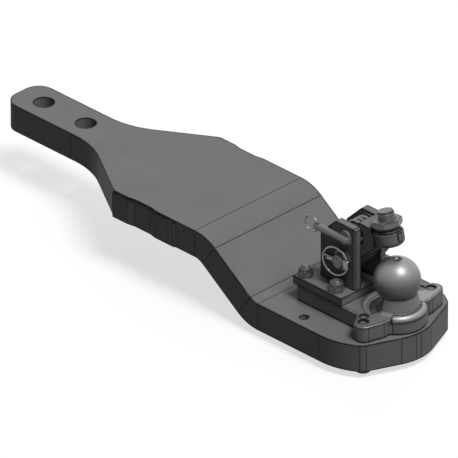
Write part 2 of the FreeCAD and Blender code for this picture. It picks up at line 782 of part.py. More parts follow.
def make_lever():
    """The hold-down lever: a hub, a thick web with a hook for the lock pin, and a leaning boss."""
    body = new_body("hold_down_lever")
    top = f"({BASE_TOP} + lever_top)"
    width = f"(2 * {LEVER_HALF})"
    hub = sketch(body, "XZ_Plane")
    circle(hub, "hub_radius", HINGE_X, HINGE_Z)
    pad(body, hub, width, "Symmetric")

    web = sketch(body, "XZ_Plane")
    outline(web, [
        (f"({HINGE_X} + lever_hook_ahead)", HINGE_Z),
        (HINGE_X, f"({BASE_TOP} + lever_toe_low)"),
        (f"({HINGE_X} + lever_toe_ahead)", f"({BASE_TOP} + lever_toe_low)"),
        (f"({HINGE_X} + lever_toe_ahead)", f"({BASE_TOP} + lever_toe_high)"),
        (f"({HINGE_X} + lever_belly_ahead)", f"({BASE_TOP} + lever_belly_height)"),
        (f"({HINGE_X} + lever_front_ahead)", top),
        (f"({HINGE_X} + lever_rear_ahead)", top),
        (f"({HINGE_X} + lever_hook_ahead)", f"({BASE_TOP} + lever_hook_high)"),
    ])
    pad(body, web, width, "Symmetric")

    spring_way = "(spring_outer / 2 + spring_room)"
    pocket_deep = f"({width} - hook_width)"
    room = sketch(body, "XZ_Plane", level=LEVER_HALF)
    circle(room, spring_way, LOCK_X, LOCK_Z)
    pocket(body, room, pocket_deep)
    seat = sketch(body, "XZ_Plane")
    circle(seat, "(lock_size / 2 + seat_gap)", LOCK_X, LOCK_Z)
    pocket(body, seat, side="Symmetric")

    nut_way = "(jam_flats / sqrt(3) + jam_seat_gap)"
    spot = sketch(body, "XZ_Plane", "ball_reach", BALL_Z, turn="screw_lean")
    outline(spot, box_points("0", "boss_high", nut_way, f"({JAM_SEAT} + 2 * jam_height)"))
    revolve(body, "Groove", spot)

    boss = sketch(body, "XZ_Plane", "ball_reach", BALL_Z, turn="screw_lean")
    neck = "(boss_radius - boss_step_in)"
    outline(boss, [
        ("0", "boss_low"),
        ("(boss_radius - boss_foot)", "boss_low", "boss_foot"),
        ("boss_radius", "(boss_low + boss_foot)"),
        ("boss_radius", "(boss_high - boss_round)", "boss_round"),
        ("(boss_radius - boss_round)", "boss_high"),
        (neck, "boss_high"),
        (neck, "(boss_high + boss_shoulder - boss_shoulder_in)", "boss_shoulder_in"),
        (f"({neck} - boss_shoulder_in)", "(boss_high + boss_shoulder)"),
        (f"({neck} - boss_shoulder_in)", JAM_SEAT),
        ("0", JAM_SEAT),
    ])
    revolve(body, "Revolution", boss)

    nose = sketch(body, "XZ_Plane", "ball_reach", BALL_Z, turn="screw_lean")
    outline(nose, box_points(neck, "(boss_low + boss_foot)", "(boss_radius + nose_proud)", "boss_high"))
    pad(body, nose, "nose_width", "Symmetric")

    bore = sketch(body, "XZ_Plane", "ball_reach", BALL_Z, turn="screw_lean")
    outline(bore, box_points("0", "(boss_low - boss_foot)", "(screw_size / 2 + bolt_gap)",
                             f"({JAM_SEAT} + boss_step)"))
    revolve(body, "Groove", bore)
    hinge = sketch(body, "XZ_Plane")
    circle(hinge, BUSH_OUTER, HINGE_X, HINGE_Z)
    pocket(body, hinge, side="Symmetric")
    return body


def make_lever_bush():
    """The plain bearing pressed into the lever's hub."""
    half = f"({LEVER_HALF} + bush_proud)"
    body = new_body("lever_bush")
    ring = sketch(body, "XZ_Plane")
    circle(ring, BUSH_OUTER)
    circle(ring, "(hinge_size / 2 + running_gap)")
    pad(body, ring, f"(2 * {half})", "Symmetric")
    place(body, HINGE_X, "0", HINGE_Z)
    return body


def lean_over_ball(body, distance):
    """Stand a piece on the leaning axis through the ball's centre, at a distance from that centre."""
    place(body, f"(ball_reach - {distance} * sin(screw_lean))", "0",
          f"({BALL_Z} + {distance} * cos(screw_lean))", Vector(0, -1, 0), "screw_lean")


def make_adjusting_screw():
    """The thick set screw that bears on the coupling."""
    body = new_body("adjusting_screw")
    rod(body, "(screw_size / 2)", "0", "screw_length")
    dress(body, "Chamfer", "screw_edge", edges_level("0", "screw_length"))
    lean_over_ball(body, "screw_low")
    return body


def make_jam_nut():
    """The hexagon nut that locks the set screw."""
    body = new_body("jam_nut")
    hex_prism(body, "jam_flats", "0", "jam_height", ["0", "jam_height"])
    bore = sketch(body, "XY_Plane", level="jam_height")
    circle(bore, "(screw_size / 2 + bolt_gap)")
    pocket(body, bore)
    lean_over_ball(body, JAM_SEAT)
    return body


def make_lock_pin():
    """The round pin that locks the lever, grooved for its clip and bedded on the cross bar."""
    body = new_body("lock_pin")
    end = "(lock_tip + bar_out - bar_bed)"
    rod(body, "(lock_size / 2)", "0", end)
    dress(body, "Chamfer", "lock_tip_edge", edges_level("0"))
    bed = sketch(body, "YZ_Plane")
    circle(bed, "(bar_size / 2)", "0", "(lock_tip + bar_out)")
    pocket(body, bed, side="Symmetric")
    groove = sketch(body, "XZ_Plane")
    low = "(lock_tip - washer_place - stop_washer_thick - clip_thick)"
    outline(groove, box_points("(lock_size / 2 - clip_groove)", low, "lock_size", f"({low} + clip_thick)"))
    revolve(body, "Groove", groove)
    place(body, LOCK_X, "lock_tip", LOCK_Z, Vector(1, 0, 0), "right_angle")
    return body


def make_lock_bar():
    """The cross bar that the lock pin is pulled by, drilled upright for the ring."""
    body = new_body("lock_bar")
    length = "(bar_rear + bar_front)"
    rod(body, "(bar_size / 2)", "0", length)
    dress(body, "Chamfer", "bar_edge", edges_level("0", length))
    hole = sketch(body, "YZ_Plane")
    circle(hole, "(ring_hole / 2)", "0", "ring_hole_inset")
    pocket(body, hole, side="Symmetric")
    place(body, f"({LOCK_X} - bar_rear)", "-bar_out", LOCK_Z, Vector(0, 1, 0), "right_angle")
    return body


def hoop(label, centre_line, wire):
    """A closed ring of round wire about its own middle, its axis along Y."""
    body = new_body(label)
    section = sketch(body, "XY_Plane")
    circle(section, f"({wire} / 2)", centre_line)
    revolve(body, "Revolution", section)
    return body


def ring_drop(centre_line, way):
    """How far a ring bows over half of the hole it hangs in."""
    return f"(({centre_line} - sqrt({centre_line} * {centre_line} - {way} * {way} / 4)) / 2)"


def make_lock_ring():
    """The pull ring in the cross bar's hole."""
    line = "(ring_radius - ring_wire / 2)"
    body = hoop("lock_ring", line, "ring_wire")
    place(body, f"({LOCK_X} - bar_rear + ring_hole_inset + {ring_drop(line, 'bar_size')} - {line})",
          "-bar_out", LOCK_Z)
    return body


def make_spring_washer():
    """The washer that the spring bears on."""
    body = washer("spring_washer", "stop_washer", "(lock_size / 2 + running_gap)", "stop_washer_thick")
    place(body, LOCK_X, "washer_place", LOCK_Z, Vector(-1, 0, 0), "right_angle")
    return body


def make_retaining_clip():
    """The round clip in the lock pin's groove, behind the washer."""
    body = washer("retaining_clip", "clip_outer", "(lock_size / 2 - clip_groove + bolt_gap)", "clip_thick")
    place(body, LOCK_X, "(washer_place + stop_washer_thick)", LOCK_Z, Vector(-1, 0, 0), "right_angle")
    return body


def make_lock_spring():
    """The coil spring between the near cheek and the washer."""
    body = new_body("lock_spring")
    coil = "(spring_outer / 2 - spring_wire / 2)"
    section = sketch(body, "XZ_Plane")
    circle(section, "(spring_wire / 2)", coil, "(spring_wire / 2)")
    wound = body.newObject("PartDesign::AdditiveHelix", "Helix")
    wound.Profile = section
    wound.ReferenceAxis = (section, ["V_Axis"])
    wound.Mode = "height-turns-angle"
    wound.setExpression("Height", bound("(washer_place + cheek_gap / 2 - spring_wire)"))
    wound.setExpression("Turns", bound("spring_turns"))
    place(body, LOCK_X, "(-1 * cheek_gap / 2)", LOCK_Z, Vector(-1, 0, 0), "right_angle")
    return body


def along_linch(distance):
    """Coordinates at a distance from the hinge bolt's axis, up the tilted linch pin."""
    return (f"({HINGE_X} + {distance} * cos(linch_tilt))", LINCH_Y,
            f"({HINGE_Z} + {distance} * sin(linch_tilt))")


def make_linch_pin():
    """The quick pin through the hinge bolt's end, with a thick drilled head."""
    body = new_body("linch_pin")
    profile = sketch(body, "XZ_Plane")
    start = "(hinge_size / 2 + linch_stand)"
    finish = f"({start} + linch_head_length)"
    outline(profile, [
        ("0", "-linch_tail"),
        ("(linch_end / 2)", "-linch_tail"),
        ("(linch_size / 2)", "(-linch_tail + linch_taper)"),
        ("(linch_size / 2)", start),
        ("linch_head_radius", start),
        ("linch_head_radius", f"({finish} - linch_head_edge)", "linch_head_edge"),
        ("(linch_head_radius - linch_head_edge)", finish),
        ("0", finish),
    ])
    revolve(body, "Revolution", profile)
    flats = sketch(body, "YZ_Plane")
    outline(flats, box_points("linch_head_half", start, "(2 * linch_head_radius)", finish))
    outline(flats, box_points("(-2 * linch_head_radius)", start, "-linch_head_half", finish))
    pocket(body, flats, side="Symmetric")
    hole = sketch(body, "YZ_Plane")
    circle(hole, "(linch_ring_hole / 2)", "0", f"({start} + linch_head_length / 2)")
    pocket(body, hole, side="Symmetric")
    x, y, z = along_linch("0")
    place(body, x, y, z, Vector(0, 1, 0), "(right_angle - linch_tilt)")
    return body


def make_linch_ring():
    """The ring that hangs in the linch pin's head and lies against its tail, round the bolt's end."""
    body = hoop("linch_ring", "linch_ring_radius", "linch_wire")
    reach = f"(linch_ring_radius - {ring_drop('linch_ring_radius', '(2 * linch_head_radius)')})"
    head = "(hinge_size / 2 + linch_stand + linch_head_length / 2)"
    x, y, z = along_linch(f"({head} - {reach} * cos(linch_open))")
    tilt = math.radians(size("linch_tilt"))
    place(body, x, f"({y} - {reach} * sin(linch_open))", z,
          Vector(-math.sin(tilt), 0, math.cos(tilt)), "linch_open")
    return body


# Places of the bolts, dowels and pins, near side first
BOLT_WAY = "(bolt_size / 2 + bolt_clearance)"
BUSH_OUTER = "(hinge_size / 2 + running_gap + bush_wall)"
LINCH_Y = f"(-1 * ({CHEEK_OUT} + linch_washer_thick + linch_gap + linch_size / 2))"
CLAMP_PLACES = [(x, y) for x in (CLAMP_X, f"({CLAMP_X} + clamp_pitch)")
                for y in ("(-1 * clamp_out)", "clamp_out")]
LOBE_PLACES = [("ball_reach", "(-1 * lobe_bolt_out)"), ("ball_reach", "lobe_bolt_out")]
DOWEL_PLACES = [(DOWEL_X, "(-1 * dowel_out)"), (DOWEL_X, "dowel_out")]

pieces = [make_drawbar_plate(), make_ball_block(), make_hold_down_base()]
pieces += [make_cheek("cheek_near", "-1"), make_cheek("cheek_far", "1")]
pieces += [make_lever(), make_lever_bush(), make_adjusting_screw(), make_jam_nut()]
pieces += [make_hinge_bolt(), make_hinge_washer(), make_linch_washer()]
pieces += [make_linch_pin(), make_linch_ring()]
pieces += [make_lock_pin(), make_lock_bar(), make_lock_ring(), make_lock_spring()]
pieces += [make_spring_washer(), make_retaining_clip()]
stack = "washer_thick + plate_thick + block_height + base_thick"
clamp_length = f"({stack} + nut_height + nut_collar + bolt_proud)"
for number, (x, y) in enumerate(CLAMP_PLACES, start=1):
    pieces.append(make_clamp_bolt(f"clamp_bolt_{number}", x, y, clamp_length))
    pieces.append(make_lock_nut(f"lock_nut_{number}", x, y))
    pieces.append(bolt_washer(f"clamp_washer_{number}", x, y))
lobe_length = "(washer_thick + plate_thick + block_height - lobe_bolt_sink)"
for side_name, lobe, dowel in zip(("near", "far"), LOBE_PLACES, DOWEL_PLACES):
    pieces.append(make_clamp_bolt(f"lobe_bolt_{side_name}", *lobe, lobe_length))
    pieces.append(bolt_washer(f"lobe_washer_{side_name}", *lobe))
    pieces.append(make_dowel(f"dowel_{side_name}", *dowel))

doc.recompute()
for item in doc.Objects:
    if "Invalid" in item.State or "Error" in item.State:
        raise RuntimeError(f"{item.Label} did not build: {item.State}")
for piece in pieces:
    if piece.Shape.isNull() or not piece.Shape.isValid() or len(piece.Shape.Solids) != 1:
        raise RuntimeError(f"{piece.Label} is not one sound solid")
os.makedirs("parts", exist_ok=True)
for piece in pieces:
    piece.Shape.exportStep(f"parts/{piece.Label}.step")
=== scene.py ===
import json
import math

import bmesh
import bpy
from mathutils import Matrix, Vector


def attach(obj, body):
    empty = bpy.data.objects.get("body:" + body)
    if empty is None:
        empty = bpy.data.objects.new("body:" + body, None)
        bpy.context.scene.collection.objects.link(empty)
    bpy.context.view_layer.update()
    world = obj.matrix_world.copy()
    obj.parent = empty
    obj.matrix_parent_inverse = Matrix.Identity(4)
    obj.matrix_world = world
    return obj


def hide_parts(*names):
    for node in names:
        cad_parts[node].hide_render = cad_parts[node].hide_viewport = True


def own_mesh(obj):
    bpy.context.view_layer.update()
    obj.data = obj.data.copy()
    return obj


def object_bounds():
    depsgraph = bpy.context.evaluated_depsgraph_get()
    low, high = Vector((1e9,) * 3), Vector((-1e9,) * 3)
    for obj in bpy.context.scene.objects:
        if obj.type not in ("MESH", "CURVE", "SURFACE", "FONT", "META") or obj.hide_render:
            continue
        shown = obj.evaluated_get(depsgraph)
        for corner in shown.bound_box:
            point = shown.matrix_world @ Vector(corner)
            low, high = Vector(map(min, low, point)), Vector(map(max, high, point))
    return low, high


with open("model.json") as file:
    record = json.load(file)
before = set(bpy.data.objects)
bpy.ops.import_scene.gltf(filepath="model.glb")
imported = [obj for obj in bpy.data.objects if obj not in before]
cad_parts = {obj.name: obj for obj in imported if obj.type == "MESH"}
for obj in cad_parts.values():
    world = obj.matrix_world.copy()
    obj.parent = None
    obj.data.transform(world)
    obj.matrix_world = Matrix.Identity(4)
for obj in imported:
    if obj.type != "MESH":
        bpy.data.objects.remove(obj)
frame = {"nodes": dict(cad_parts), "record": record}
cad_low, cad_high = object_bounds()

# Camera: a long lens at the photograph's angle
VIEW_AZIMUTH = math.radians(45)
VIEW_ELEVATION = math.radians(30)
LENS = 1500
SENSOR = 36
PICTURE_WIDTH = 0.764
AIM = Vector((0.4397, 0, -0.0665))
NEAR_LIMIT = 1
FAR_LIMIT = 100

# Lamps: direction, level (1 renders a colour as it is written) and spread in degrees
KEY_DIRECTION = Vector((0.44, -0.02, 0.9))
KEY_LEVEL = 0.82
KEY_SPREAD = 24
OVERHEAD_DIRECTION = Vector((0.3, 0.35, 1))
OVERHEAD_LEVEL = 0.14
OVERHEAD_SPREAD = 90
BACK_DIRECTION = Vector((-0.66, 0.66, 0.25))
BACK_LEVEL = 0.4
BACK_SPREAD = 60
AMBIENT = 0.03

# Floor: its size, and its grey levels for the object and for the camera
FLOOR_SIZE = 30
FLOOR_MIDDLE = 0.4
FLOOR_TO_OBJECT = 0.08
FLOOR_PAINT = 0.35
FLOOR_GLOW = 0.68

# Tones of the finishes, as screen values from 0 to 255
PAINT_TONE = (114, 113, 111)
STEEL_TONE = (112, 111, 110)
PLATING_TONE = (120, 120, 119)
BRONZE_TONE = (176, 132, 78)
PAINT_EDGE_TONE = (38, 38, 38)
STEEL_EDGE_TONE = (34, 34, 34)
NOISE_ROUGHNESS = 0.55

# Thin shop marks: full strength within the first distance, gone at the second
MARK_CORE = 0.00048
MARK_WIDTH = 0.0012

# Where the plate's bends begin and end: along the bar, height of the top face, and slope there
BEND_SLOPE = math.radians(35.5)
BEND_LINES = ((0.485, 0, 0), (0.53145, -0.01487, BEND_SLOPE), (0.615, -0.07442, BEND_SLOPE),
              (0.6324, -0.08, 0))

# Where the torch cut turns along the plate's edge
CUT_TURNS = ((0.1065, -0.0425), (0.1958, -0.0653), (0.3275, -0.1285), (0.3428, -0.1256),
             (0.3785, -0.1256), (0.3925, -0.1283), (0.4212, -0.1285), (0.7757, -0.126),
             (0.8492, -0.1041), (0.8563, -0.0955), (0.8811, -0.0371), (0.888, -0.0098),
             (0.8885, 0.0012), (0.8835, 0.0309), (0.8563, 0.0955), (0.8492, 0.1041),
             (0.7757, 0.126))

# Where the block's turned profile changes: distance from the ball's upright axis, and height.
# The dish's corners lie behind its front end, and the collar's ahead of it.
BALL_AXIS = (0.833, 0)
DISH_CORNERS = ((0.026, -0.0495), (0.0335, -0.057), (0.0449, -0.057), (0.0504, -0.0551),
                (0.0554, -0.0512), (0.059, -0.05))
COLLAR_CORNERS = ((0.0407, -0.0478), (0.0502, -0.0573))
DISH_FRONT = 0.823
DISH_FRONT_FADE = 0.001

# Where the block's upright edge turns from straight to round, on both sides
BLOCK_TURNS = ((0.8522, 0.0861), (0.8598, 0.057), (0.8598, 0.0484), (0.8636, 0.0408))

# The lever's set screw leans back over the ball
BALL_CENTRE = Vector((0.833, 0, -0.002))
SCREW_LEAN = math.radians(13.5)
SCREW_AXIS = Vector((-math.sin(SCREW_LEAN), 0, math.cos(SCREW_LEAN)))
SCREW_LOW = 0.0615
SCREW_LENGTH = 0.062
SCREW_RADIUS = 0.015
SCREW_ROOT = 0.0138
SCREW_EDGE = 0.002

# Its thread: rings of corners for each turn, steps from root to crest, and the flank's share
THREAD_PITCH = 0.002
THREAD_SIDES = 32
THREAD_RINGS = 4
THREAD_LEVELS = 8
THREAD_ROOT_FLAT = 0.1
THREAD_FLANK = 0.75
ROOT_SLACK = 0.00001

# Dirt round the screw's upper end, which fades in and out over these depths below it
END_DIRT_FOOT = (0.0032, 0.0026)
END_DIRT_TOP = (0.0005, 0.0001)

# The lock pin's spring
SPRING_FOOT = Vector((0.752, -0.023, 0.062))
SPRING_COIL = 0.0185
SPRING_WIRE = 0.003
SPRING_LENGTH = 0.0375
SPRING_TURNS = 3.25
SPRING_STEPS = 130

# The welds at the feet of the two upright cheeks, inside and behind
WELD_SIZE = 0.0042
WELD_STEP = 0.0015
WELD_SWELL = 1.16
WELD_TAPER = 0.5
WELD_INSET = 0.002
CHEEK_REAR = 0.6925
CHEEK_FRONT = 0.7715
CHEEK_INSIDE = 0.023
CHEEK_OUTSIDE = 0.038
CHEEK_FOOT = -0.035

ROUND_SIDES = 16
SMOOTH_ANGLE = math.radians(38)


def linear(screen_values):
    """A colour for a shader, from its usual screen values of 0 to 255."""
    steps = [value / 255 for value in screen_values]
    return [s / 12.92 if s <= 0.04045 else ((s + 0.055) / 1.055) ** 2.4 for s in steps] + [1]


def grey(level):
    """A plain grey for a shader."""
    return [level, level, level, 1]


# Small shader steps

def calculate(tree, operation, first, second=None, clamp=False):
    """A math node on sockets or plain numbers."""
    node = tree.nodes.new("ShaderNodeMath")
    node.operation = operation
    node.use_clamp = clamp
    for index, value in enumerate((first, second)):
        if value is None:
            continue
        if isinstance(value, (int, float)):
            node.inputs[index].default_value = value
        else:
            tree.links.new(value, node.inputs[index])
    return node.outputs[0]


def scaled(tree, value, factor, offset):
    """A value times a factor, plus an offset."""
    return calculate(tree, "ADD", calculate(tree, "MULTIPLY", value, factor), offset)


def rest_of(tree, mask):
    """What a mask leaves out."""
    return calculate(tree, "SUBTRACT", 1, mask)


def strongest(tree, masks):
    """The highest of several masks at each point."""
    highest = masks[0]
    for mask in masks[1:]:
        highest = calculate(tree, "MAXIMUM", highest, mask)
    return highest


def ramp(tree, value, low, high):
    """A smooth step of a value between two limits."""
    node = tree.nodes.new("ShaderNodeMapRange")
    node.interpolation_type = "SMOOTHSTEP"
    tree.links.new(value, node.inputs["Value"])
    node.inputs["From Min"].default_value = low
    node.inputs["From Max"].default_value = high
    return node.outputs["Result"]


def dot_product(tree, first):
    """A dot product node whose first side is linked, for its second side to be given."""
    node = tree.nodes.new("ShaderNodeVectorMath")
    node.operation = "DOT_PRODUCT"
    tree.links.new(first, node.inputs[0])
    return node


def mix_colours(tree, factor, first, second):
    """A blend of two colours, each a socket or four numbers."""
    node = tree.nodes.new("ShaderNodeMix")
    node.data_type = "RGBA"
    tree.links.new(factor, node.inputs["Factor"])
    for title, value in (("A", first), ("B", second)):
        if isinstance(value, list):
            node.inputs[title].default_value = value
        else:
            tree.links.new(value, node.inputs[title])
    return node.outputs["Result"]


# Camera, light and floor

def place_camera():
    """The camera at the photograph's angle and framing."""
    data = bpy.data.cameras.new("camera")
    data.lens = LENS
    data.sensor_width = SENSOR
    data.clip_start = NEAR_LIMIT
    data.clip_end = FAR_LIMIT
    camera = bpy.data.objects.new("camera", data)
    bpy.context.scene.collection.objects.link(camera)
    back = Vector((math.sin(VIEW_AZIMUTH) * math.cos(VIEW_ELEVATION),
                   -math.cos(VIEW_AZIMUTH) * math.cos(VIEW_ELEVATION),
                   math.sin(VIEW_ELEVATION)))
    camera.location = AIM + back * (PICTURE_WIDTH * LENS / SENSOR)
    camera.rotation_euler = (-back).to_track_quat("-Z", "Y").to_euler()
    bpy.context.scene.camera = camera


def lamp(name, direction, level, spread, in_gloss=True):
    """A broad distant lamp that lights a face turned to it to the given level."""
    data = bpy.data.lights.new(name, "SUN")
    data.energy = level * math.pi
    data.angle = math.radians(spread)
    light = bpy.data.objects.new(name, data)
    light.rotation_euler = direction.to_track_quat("Z", "Y").to_euler()
    light.visible_glossy = in_gloss
    bpy.context.scene.collection.objects.link(light)


def seen_directly(tree):
    """A mask that is 1 for what the camera, a reflection or glass sees."""
    path = tree.nodes.new("ShaderNodeLightPath")
    return strongest(tree, [path.outputs["Is Camera Ray"], path.outputs["Is Glossy Ray"],
                            path.outputs["Is Transmission Ray"]])


def light_world():
    """A white surround that lights the object only a little."""
    world = bpy.data.worlds.new("studio")
    bpy.context.scene.world = world
    world.use_nodes = True
    tree = world.node_tree
    colour = mix_colours(tree, seen_directly(tree), grey(AMBIENT), grey(1))
    tree.links.new(colour, tree.nodes["Background"].inputs["Color"])


def lay_floor():
    """A wide pale floor under the bolt heads, white to the camera but for a soft shadow."""
    bpy.ops.mesh.primitive_plane_add(size=FLOOR_SIZE, location=(FLOOR_MIDDLE, 0, cad_low.z))
    floor = bpy.context.object
    floor.name = "floor"
    material = bpy.data.materials.new("floor_white")
    material.use_nodes = True
    tree = material.node_tree
    tree.nodes.clear()
    output = tree.nodes.new("ShaderNodeOutputMaterial")
    plain = tree.nodes.new("ShaderNodeBsdfDiffuse")
    plain.inputs["Color"].default_value = grey(FLOOR_TO_OBJECT)
    pale = tree.nodes.new("ShaderNodeBsdfDiffuse")
    pale.inputs["Color"].default_value = grey(FLOOR_PAINT)
    glow = tree.nodes.new("ShaderNodeEmission")
    glow.inputs["Color"].default_value = grey(FLOOR_GLOW)
    bright = tree.nodes.new("ShaderNodeAddShader")
    tree.links.new(pale.outputs[0], bright.inputs[0])
    tree.links.new(glow.outputs[0], bright.inputs[1])
    mix = tree.nodes.new("ShaderNodeMixShader")
    tree.links.new(seen_directly(tree), mix.inputs["Fac"])
    tree.links.new(plain.outputs[0], mix.inputs[1])
    tree.links.new(bright.outputs[0], mix.inputs[2])
    tree.links.new(mix.outputs[0], output.inputs["Surface"])
    floor.data.materials.append(material)


# What the finishes read from the surface

def surface_place(tree):
    """The surface's own coordinates, as the outputs X, Y and Z."""
    place = tree.nodes.new("ShaderNodeTexCoord")
    split = tree.nodes.new("ShaderNodeSeparateXYZ")
    tree.links.new(place.outputs["Object"], split.inputs["Vector"])
    return split.outputs


def stretched_noise(tree, scale, detail, stretch=(1, 1, 1)):
    """Noise on the object's own coordinates, stretched by axis."""
    place = tree.nodes.new("ShaderNodeTexCoord")
    mapping = tree.nodes.new("ShaderNodeMapping")
    mapping.inputs["Scale"].default_value = stretch
    tree.links.new(place.outputs["Object"], mapping.inputs["Vector"])
    noise = tree.nodes.new("ShaderNodeTexNoise")
    noise.inputs["Scale"].default_value = scale
    noise.inputs["Detail"].default_value = detail
    noise.inputs["Roughness"].default_value = NOISE_ROUGHNESS
    tree.links.new(mapping.outputs["Vector"], noise.inputs["Vector"])
    return noise.outputs["Fac"]


def facing_up(tree):
    """How far the surface faces up, from -1 to 1."""
    geometry = tree.nodes.new("ShaderNodeNewGeometry")
    split = tree.nodes.new("ShaderNodeSeparateXYZ")
    tree.links.new(geometry.outputs["True Normal"], split.inputs["Vector"])
    return split.outputs["Z"]


def upright_face(tree):
    """A mask that is 1 on upright faces."""
    level = calculate(tree, "ABSOLUTE", facing_up(tree))
    return rest_of(tree, ramp(tree, level, low=0.1, high=0.3))


def length_of(tree, first, second):
    """The length of a step given along two square directions."""
    return calculate(tree, "SQRT", calculate(
        tree, "ADD", calculate(tree, "MULTIPLY", first, first),
        calculate(tree, "MULTIPLY", second, second)))


def plan_distance(tree, point):
    """How far the surface is from an upright line through a point of the plan."""
    here = surface_place(tree)
    return length_of(tree, calculate(tree, "SUBTRACT", here["X"], point[0]),
                     calculate(tree, "SUBTRACT", here["Y"], point[1]))


def thin_mark(tree, distance):
    """A thin mark where a distance comes to nothing."""
    return rest_of(tree, ramp(tree, distance, MARK_CORE, MARK_WIDTH))


def corner_lines(tree, corners):
    """Upright lines through points of the plan, on upright faces."""
    marks = strongest(tree, [thin_mark(tree, plan_distance(tree, corner)) for corner in corners])
    return calculate(tree, "MULTIPLY", marks, upright_face(tree))


# Surface effects that several finishes share

def new_group(name, inputs, outputs):
    """An empty shader group with number inputs and outputs."""
    tree = bpy.data.node_groups.new(name, "ShaderNodeTree")
    for title, value in inputs.items():
        socket = tree.interface.new_socket(title, in_out="INPUT", socket_type="NodeSocketFloat")
        socket.default_value = value
    for title in outputs:
        tree.interface.new_socket(title, in_out="OUTPUT", socket_type="NodeSocketFloat")
    return tree, tree.nodes.new("NodeGroupInput"), tree.nodes.new("NodeGroupOutput")


def put_out(tree, given, value, socket, clamp=False):
    """Send a value times the group's Amount to one of its outputs."""
    tree.links.new(calculate(tree, "MULTIPLY", value, given.outputs["Amount"], clamp), socket)


def make_edge_wear():
    """Dirt and wear along sharp edges, broken up by noise."""
    tree, given, out = new_group("edge_wear", {"Amount": 0.5, "Reach": 0.003}, ["Wear"])
    bevel = tree.nodes.new("ShaderNodeBevel")
    bevel.samples = 8
    tree.links.new(given.outputs["Reach"], bevel.inputs["Radius"])
    geometry = tree.nodes.new("ShaderNodeNewGeometry")
    agreement = dot_product(tree, bevel.outputs["Normal"])
    tree.links.new(geometry.outputs["Normal"], agreement.inputs[1])
    edge = ramp(tree, rest_of(tree, agreement.outputs["Value"]), low=0.003, high=0.035)
    patches = ramp(tree, stretched_noise(tree, scale=90, detail=4), low=0.3, high=0.5)
    worn = calculate(tree, "MULTIPLY", edge, scaled(tree, patches, factor=0.3, offset=0.7))
    put_out(tree, given, worn, out.inputs["Wear"], clamp=True)
    return tree


def make_mottle():
    """Slow tone changes, fine specks and a fine grain for bumps."""
    tree, given, out = new_group("mottle", {"Amount": 0.5}, ["Tone", "Grain"])
    clouds = calculate(tree, "MULTIPLY", stretched_noise(tree, scale=11, detail=5), 0.7)
    specks = calculate(tree, "MULTIPLY", stretched_noise(tree, scale=420, detail=3), 0.3)
    both = calculate(tree, "ADD", clouds, specks)
    centred = calculate(tree, "SUBTRACT", both, 0.5)
    tree.links.new(scaled(tree, centred, given.outputs["Amount"], offset=1), out.inputs["Tone"])
    tree.links.new(stretched_noise(tree, scale=900, detail=2), out.inputs["Grain"])
    return tree


def make_cut_lines():
    """Upright drag lines of a flame cut, only on upright faces."""
    tree, given, out = new_group("cut_lines", {"Amount": 0.5}, ["Height"])
    lines = stretched_noise(tree, scale=260, detail=3, stretch=(1, 1, 0.03))
    put_out(tree, given, calculate(tree, "MULTIPLY", lines, upright_face(tree)),
            out.inputs["Height"])
    return tree


def make_shop_marks():
    """Press lines across the bends, and marks where the torch cut turns into a curve."""
    tree, given, out = new_group("shop_marks", {"Amount": 0.5}, ["Marks"])
    here = surface_place(tree)
    presses = []
    for along, height, slope in BEND_LINES:
        run = calculate(tree, "MULTIPLY", calculate(
            tree, "SUBTRACT", here["X"], along), math.cos(slope))
        fall = calculate(tree, "MULTIPLY", calculate(
            tree, "SUBTRACT", here["Z"], height), math.sin(slope))
        off = calculate(tree, "ABSOLUTE", calculate(tree, "SUBTRACT", run, fall))
        presses.append(thin_mark(tree, off))
    put_out(tree, given, strongest(tree, presses + [corner_lines(tree, CUT_TURNS)]),
            out.inputs["Marks"])
    return tree


def make_turned_corners():
    """Thin lines where the block's turned and milled faces go from flat to round."""
    tree, given, out = new_group("turned_corners", {"Amount": 0.5}, ["Marks"])
    here = surface_place(tree)
    reach = plan_distance(tree, BALL_AXIS)
    ahead = ramp(tree, here["X"], DISH_FRONT - DISH_FRONT_FADE, DISH_FRONT + DISH_FRONT_FADE)
    rings = []
    for corners, side in ((DISH_CORNERS, rest_of(tree, ahead)), (COLLAR_CORNERS, ahead)):
        marks = [thin_mark(tree, length_of(tree, calculate(tree, "SUBTRACT", reach, radius),
                                           calculate(tree, "SUBTRACT", here["Z"], height)))
                 for radius, height in corners]
        rings.append(calculate(tree, "MULTIPLY", strongest(tree, marks), side))
    turns = corner_lines(tree, [(x, y * side) for x, y in BLOCK_TURNS for side in (-1, 1)])
    put_out(tree, given, calculate(tree, "MAXIMUM", calculate(tree, "ADD", *rings), turns),
            out.inputs["Marks"])
    return tree


def make_turned_lines():
    """Fine rings left by turning about an upright axis."""
    tree, given, out = new_group("turned_lines", {"Amount": 0.5}, ["Height"])
    rings = stretched_noise(tree, scale=1500, detail=2, stretch=(0.004, 0.004, 1))
    put_out(tree, given, rings, out.inputs["Height"])
    return tree


EDGE_WEAR = make_edge_wear()
MOTTLE = make_mottle()
CUT_LINES = make_cut_lines()
SHOP_MARKS = make_shop_marks()
TURNED_CORNERS = make_turned_corners()
TURNED_LINES = make_turned_lines()


# Finishes

def use_group(tree, group, amount, reach=None):
    """A shared effect's outputs, placed in a finish with its own strength."""
    node = tree.nodes.new("ShaderNodeGroup")
    node.node_tree = group
    node.inputs["Amount"].default_value = amount
    if reach is not None:
        node.inputs["Reach"].default_value = reach
    return node.outputs


def toned(tree, tone, change):
    """A tone made darker or lighter by a factor near 1."""
    node = tree.nodes.new("ShaderNodeVectorMath")
    node.operation = "SCALE"
    node.inputs[0].default_value = linear(tone)[:3]
    tree.links.new(change, node.inputs["Scale"])
    return node.outputs[0]


